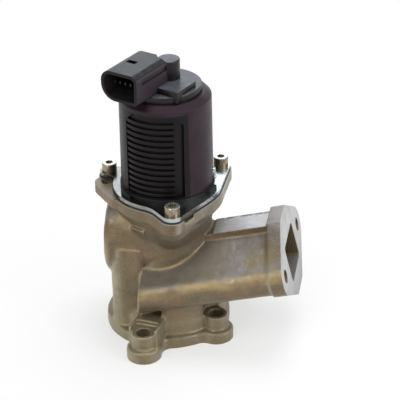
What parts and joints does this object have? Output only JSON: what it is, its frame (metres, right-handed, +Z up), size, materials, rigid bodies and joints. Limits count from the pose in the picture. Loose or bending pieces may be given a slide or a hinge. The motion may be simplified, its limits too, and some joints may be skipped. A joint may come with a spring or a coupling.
{
  "type": "egr valve",
  "caption": "Exhaust gas recirculation valve: cast body with inclined duct flange and round base port, poppet valve, ribbed solenoid actuator, position sensor and sealed connector.",
  "frame": {"origin": "centre of the round base port, on its mounting face", "axes": "+Z up along the valve axis, away from the base face; +X along the plan direction of the side duct"},
  "size_m": [0.1188, 0.1015, 0.167],
  "materials": {
    "cast_aluminium": "as cast, fine sand texture, machined faces",
    "plated_steel": "zinc plated pressing",
    "hardened_steel": "ground",
    "sintered_bronze": "sintered, matt",
    "stainless_sheet": "heat tinted sheet",
    "seal_compound": "matt black",
    "spring_steel": "oiled wire",
    "gasket_sheet": "graphite sheet",
    "bright_steel": "bright rolled sheet",
    "zinc_screws": "zinc plated",
    "soft_iron": "turned",
    "brass_sleeve": "drawn tube",
    "bobbin_plastic": "natural glass filled",
    "enamelled_copper": "enamelled wire",
    "black_moulding": "glass filled, satin",
    "black_foot": "matt",
    "black_cap": "satin, fine sheen",
    "black_connector": "satin",
    "sensor_board": "coated board",
    "tinned_pins": "tinned",
    "valve_steel": "ground"
  },
  "bodies": {
    "housing": {"valve_body": "cast_aluminium", "core_plug": "plated_steel", "seat_ring": "hardened_steel", "stem_guide": "sintered_bronze", "stem_shield": "stainless_sheet", "stem_seal": "seal_compound", "spring_seat": "plated_steel", "return_spring": "spring_steel", "plate_gasket": "gasket_sheet", "mounting_plate": "bright_steel", "plate_screws": "zinc_screws", "pole_core": "soft_iron", "armature_sleeve": "brass_sleeve", "coil_bobbin": "bobbin_plastic", "coil_winding": "enamelled_copper", "yoke_can": "soft_iron", "yoke_washer": "soft_iron", "actuator_shell": "black_moulding", "foot_ring": "black_foot", "top_cap": "black_cap", "sensor_guide": "bobbin_plastic", "sensor_track": "sensor_board", "sensor_spring": "spring_steel", "connector_shell": "black_connector", "terminal_carrier": "black_connector", "terminals": "tinned_pins"},
    "valve_train": {"valve_head": "valve_steel", "valve_stem": "valve_steel", "spring_retainer": "plated_steel", "retainer_collets": "hardened_steel"},
    "armature_group": {"armature": "soft_iron", "push_rod": "valve_steel"},
    "plunger": {"sensor_plunger": "bobbin_plastic"}
  },
  "joints": [
    {"name": "valve_travel", "type": "slide", "parent": "housing", "child": "valve_train", "axis": [0, 0, -1], "range_m": [0, 0.006], "stiffness_N_per_m": 900, "springref_m": -0.012, "deforming": ["return_spring"]},
    {"name": "armature_travel", "type": "slide", "parent": "housing", "child": "armature_group", "axis": [0, 0, -1], "range_m": [0, 0.006]},
    {"name": "sensor_travel", "type": "slide", "parent": "housing", "child": "plunger", "axis": [0, 0, -1], "range_m": [0, 0.006], "deforming": ["sensor_spring"]}
  ],
  "couplings": [
    {"joint": "armature_travel", "follows": "valve_travel", "ratio": 1},
    {"joint": "sensor_travel", "follows": "valve_travel", "ratio": 1}
  ]
}
